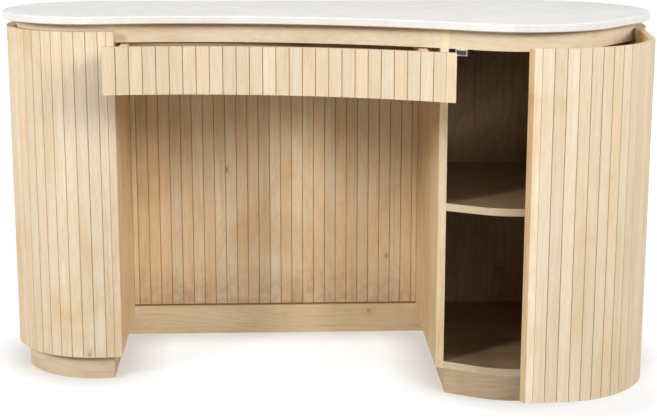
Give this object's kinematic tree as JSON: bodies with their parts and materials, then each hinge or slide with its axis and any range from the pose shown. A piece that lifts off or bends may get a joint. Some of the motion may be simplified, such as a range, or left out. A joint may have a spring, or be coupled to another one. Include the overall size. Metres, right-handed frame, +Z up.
{
  "type": "tambour desk",
  "caption": "Kidney-shaped writing desk with a stone top, curved slatted pedestal cabinets with hinged doors, and a curved slatted drawer over the kneehole.",
  "frame": {"origin": "floor level, below the middle of the desk's bounding box as pictured, with its drawer drawn out", "axes": "+Z up, +X to the sitter's right along the desk, +Y towards the back of the desk"},
  "size_m": [1.3368, 0.7236, 0.752],
  "materials": {
    "stone": "honed white stone",
    "slat_wood": "clear matt lacquer on pale wood",
    "carcass_wood": "clear matt lacquer on pale veneer",
    "lipping_wood": "clear matt lacquer on pale solid wood",
    "drawer_wood": "clear matt lacquer on pale wood",
    "zinc_steel": "zinc plated",
    "bright_steel": "nickel plated",
    "catch_plastic": "moulded black"
  },
  "bodies": {
    "carcass": {"back_apron": "carcass_wood", "back_shell": "carcass_wood", "back_shell_slats": "slat_wood", "front_apron": "carcass_wood", "kneehole_panel": "carcass_wood", "kneehole_slats": "slat_wood", "left_apron": "carcass_wood", "left_catch": "catch_plastic", "left_catch_poles": "bright_steel", "left_floor": "carcass_wood", "left_partition": "carcass_wood", "left_pivot_plates": "bright_steel", "left_plinth": "carcass_wood", "left_runner_outer": "zinc_steel", "left_shelf": "carcass_wood", "left_shell": "carcass_wood", "left_shell_slats": "slat_wood", "right_apron": "carcass_wood", "right_catch": "catch_plastic", "right_catch_poles": "bright_steel", "right_floor": "carcass_wood", "right_partition": "carcass_wood", "right_pivot_plates": "bright_steel", "right_plinth": "carcass_wood", "right_runner_outer": "zinc_steel", "right_shelf": "carcass_wood", "right_shell": "carcass_wood", "right_shell_slats": "slat_wood", "runner_packing": "carcass_wood", "shelf_pins": "bright_steel", "stone_top": "stone", "stretcher": "carcass_wood"},
    "left_door": {"left_door_lipping": "lipping_wood", "left_door_panel": "carcass_wood", "left_door_slats": "slat_wood", "left_door_stile": "lipping_wood", "left_pivot_pins": "bright_steel", "left_strike": "bright_steel"},
    "right_door": {"right_door_lipping": "lipping_wood", "right_door_panel": "carcass_wood", "right_door_slats": "slat_wood", "right_door_stile": "lipping_wood", "right_pivot_pins": "bright_steel", "right_strike": "bright_steel"},
    "drawer": {"drawer_back": "drawer_wood", "drawer_bottom": "drawer_wood", "drawer_front": "carcass_wood", "drawer_lipping": "lipping_wood", "drawer_side_left": "drawer_wood", "drawer_side_right": "drawer_wood", "drawer_slats": "slat_wood", "left_runner_inner": "zinc_steel", "right_runner_inner": "zinc_steel"},
    "runner_mids": {"left_runner_mid": "zinc_steel", "right_runner_mid": "zinc_steel"}
  },
  "joints": [
    {"name": "left_door_hinge", "type": "hinge", "parent": "carcass", "child": "left_door", "pos_m": [-0.647, 0.12474, 0.4], "axis": [0, 0, -1], "range_deg": [0, 95]},
    {"name": "right_door_hinge", "type": "hinge", "parent": "carcass", "child": "right_door", "pos_m": [0.62743, 0.02487, 0.4], "axis": [0, 0, 1], "range_deg": [-32.5, 62.5]},
    {"name": "drawer_slide", "type": "slide", "parent": "carcass", "child": "drawer", "axis": [0, -1, 0], "range_m": [-0.245, 0]},
    {"name": "runner_mid_slide", "type": "slide", "parent": "carcass", "child": "runner_mids", "axis": [0, -1, 0], "range_m": [-0.1225, 0]}
  ],
  "couplings": [
    {"joint": "runner_mid_slide", "follows": "drawer_slide", "ratio": 0.5}
  ]
}
